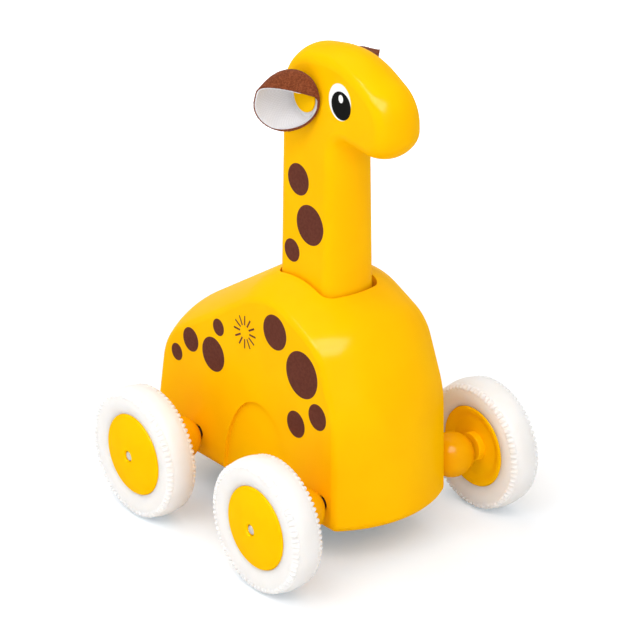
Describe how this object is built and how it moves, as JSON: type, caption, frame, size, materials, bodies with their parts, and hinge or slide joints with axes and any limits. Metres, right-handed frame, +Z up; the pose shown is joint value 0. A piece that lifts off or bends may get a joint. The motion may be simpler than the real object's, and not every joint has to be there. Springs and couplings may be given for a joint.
{
  "type": "giraffe push toy",
  "caption": "Rolling giraffe toy on soft-tyred wheels; pressing the sprung neck into the body winds it through a rack and gears, and letting go drives it forward.",
  "frame": {"origin": "on the floor under the middle of the toy's outline", "axes": "+X forward, the way the head looks; +Y to the animal's left; +Z up"},
  "size_m": [0.1148, 0.1004, 0.1597],
  "materials": {
    "lacquered_wood": "glossy yellow lacquer",
    "black_plastic": "matte moulded",
    "steel": "plain",
    "white_nylon": "natural white, moulded",
    "yellow_plastic": "glossy yellow",
    "white_rubber": "soft white, toothed shoulders",
    "brown_felt": "brown felt with a white lining"
  },
  "bodies": {
    "base": {"body": "lacquered_wood", "base_plate": "black_plastic", "base_screw_1": "steel", "base_screw_2": "steel", "base_screw_3": "steel", "base_screw_4": "steel", "gear_frame": "black_plastic", "frame_screw_1": "steel", "frame_screw_2": "steel", "gear_shaft": "steel", "return_spring": "steel", "front_left_bush": "black_plastic", "front_right_bush": "black_plastic", "rear_left_bush": "black_plastic", "rear_right_bush": "black_plastic"},
    "neck": {"neck_head": "lacquered_wood", "plunger_rack": "white_nylon", "neck_screw_1": "steel", "neck_screw_2": "steel", "left_ear": "brown_felt", "right_ear": "brown_felt", "left_ear_plug": "yellow_plastic", "right_ear_plug": "yellow_plastic"},
    "two_step_gear": {"two_step_gear": "white_nylon"},
    "drive_gear": {"drive_gear": "white_nylon", "one_way_clutch": "steel"},
    "rear_wheels": {"rear_axle": "steel", "axle_spacer": "white_nylon", "rear_left_hub": "yellow_plastic", "rear_right_hub": "yellow_plastic", "rear_left_tyre": "white_rubber", "rear_right_tyre": "white_rubber", "rear_left_ball": "yellow_plastic", "rear_right_ball": "yellow_plastic"},
    "front_wheels": {"front_axle": "steel", "front_left_hub": "yellow_plastic", "front_right_hub": "yellow_plastic", "front_left_tyre": "white_rubber", "front_right_tyre": "white_rubber", "front_left_ball": "yellow_plastic", "front_right_ball": "yellow_plastic"}
  },
  "joints": [
    {"name": "neck_slide", "type": "slide", "parent": "base", "child": "neck", "axis": [0, 0, 1], "range_m": [-0.014, 0], "stiffness_N_per_m": 300, "springref_m": 0.02, "deforming": ["return_spring"]},
    {"name": "two_step_gear_spin", "type": "hinge", "parent": "base", "child": "two_step_gear", "pos_m": [-0.01453, 0, 0.03274], "axis": [0, 1, 0], "range_deg": [0, 168]},
    {"name": "drive_gear_spin", "type": "hinge", "parent": "base", "child": "drive_gear", "pos_m": [-0.02693, 0, 0.0214], "axis": [0, 1, 0], "range_deg": [-419, 0]},
    {"name": "rear_axle_spin", "type": "hinge", "parent": "base", "child": "rear_wheels", "pos_m": [-0.02693, 0, 0.0214], "axis": [0, 1, 0], "continuous": true},
    {"name": "front_axle_spin", "type": "hinge", "parent": "base", "child": "front_wheels", "pos_m": [0.03597, 0, 0.0214], "axis": [0, 1, 0], "continuous": true}
  ],
  "couplings": [
    {"joint": "two_step_gear_spin", "follows": "neck_slide", "rad_per_m": -208.33},
    {"joint": "drive_gear_spin", "follows": "neck_slide", "rad_per_m": 520.83}
  ]
}
